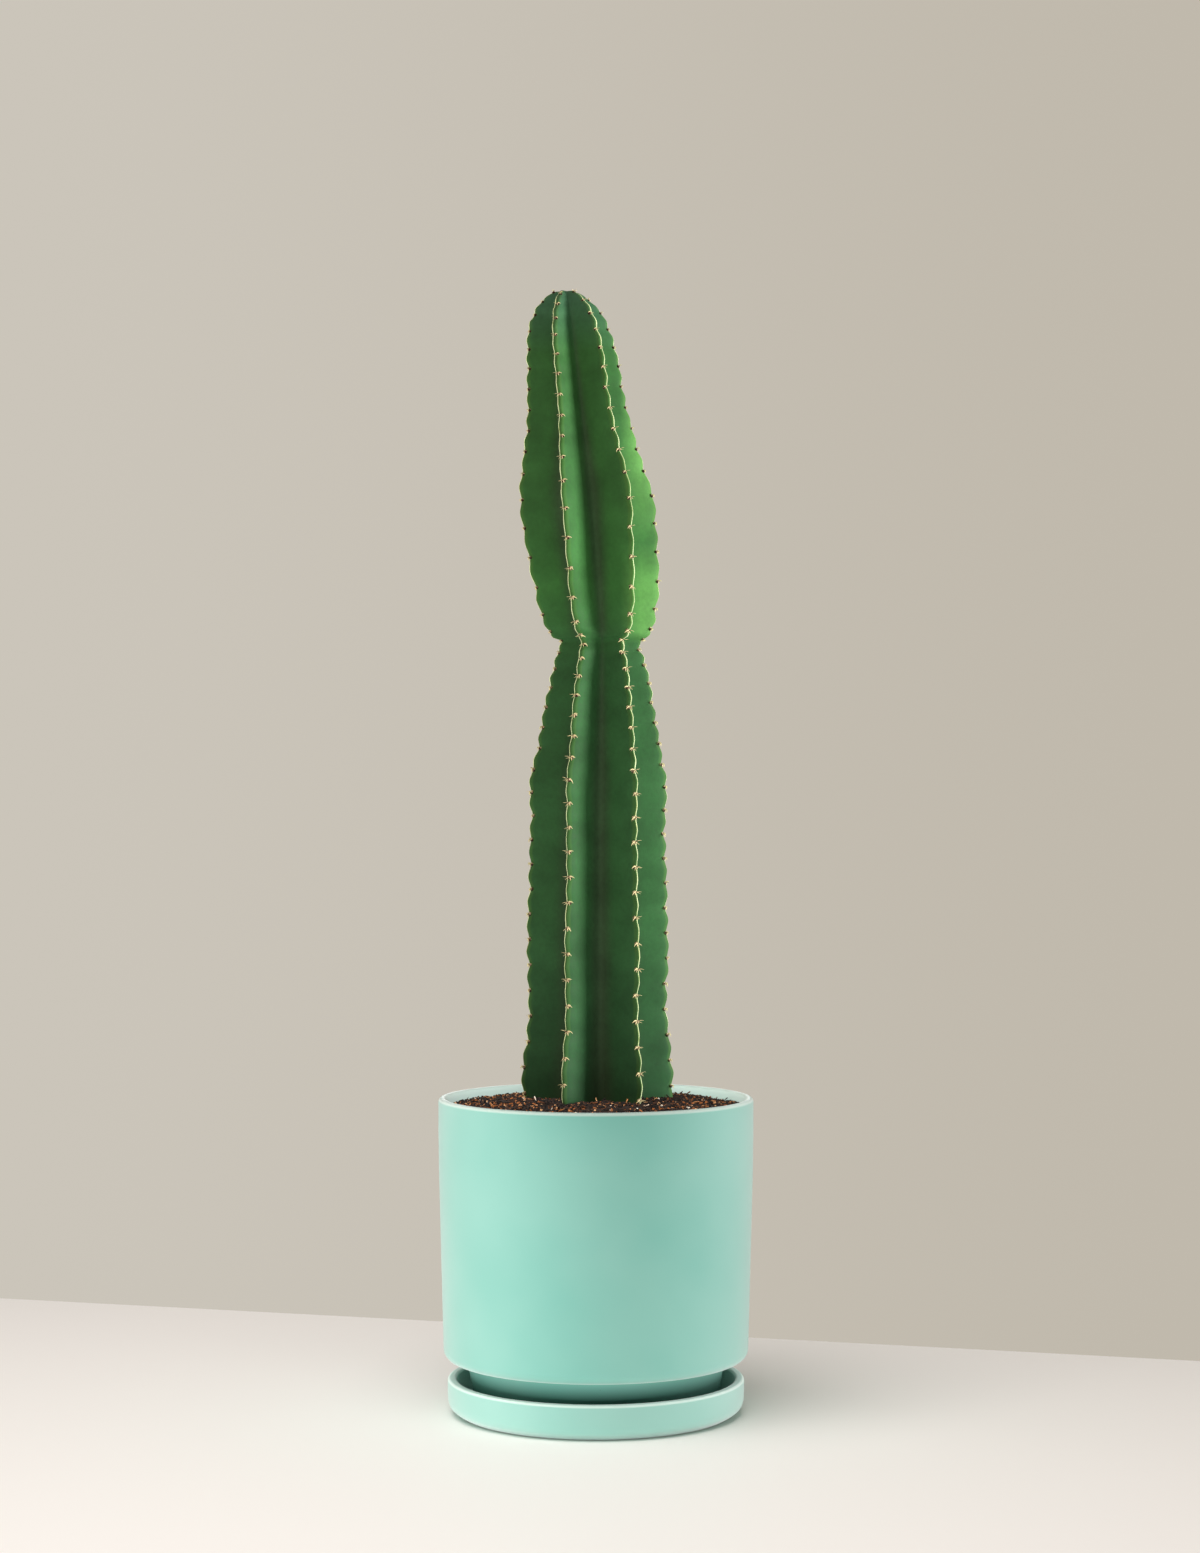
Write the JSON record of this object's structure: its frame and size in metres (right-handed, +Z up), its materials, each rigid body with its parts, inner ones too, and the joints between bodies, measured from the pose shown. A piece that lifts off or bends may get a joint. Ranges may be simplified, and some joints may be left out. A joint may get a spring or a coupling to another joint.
{
  "type": "potted tall cactus",
  "caption": "Ribbed column cactus with a narrow waist, growing in soil in a glazed cylinder pot that stands on a matching round saucer.",
  "frame": {"origin": "centre of the saucer's underside, at the level of the surface it stands on", "axes": "+Z up along the pot's axis, +X to the viewer's right, -Y towards the viewer"},
  "size_m": [0.21, 0.21, 0.7475],
  "materials": {
    "saucer_glaze": "satin mint glaze over stoneware",
    "pot_glaze": "satin mint glaze over stoneware",
    "soil": "loose dark potting mix with bark and perlite",
    "cactus_skin": "waxy green epidermis with pale corky rib crests, woolly areoles and short spines"
  },
  "bodies": {
    "root": {"saucer": "saucer_glaze", "pot": "pot_glaze", "soil": "soil", "cactus_stem": "cactus_skin"}
  },
  "joints": []
}
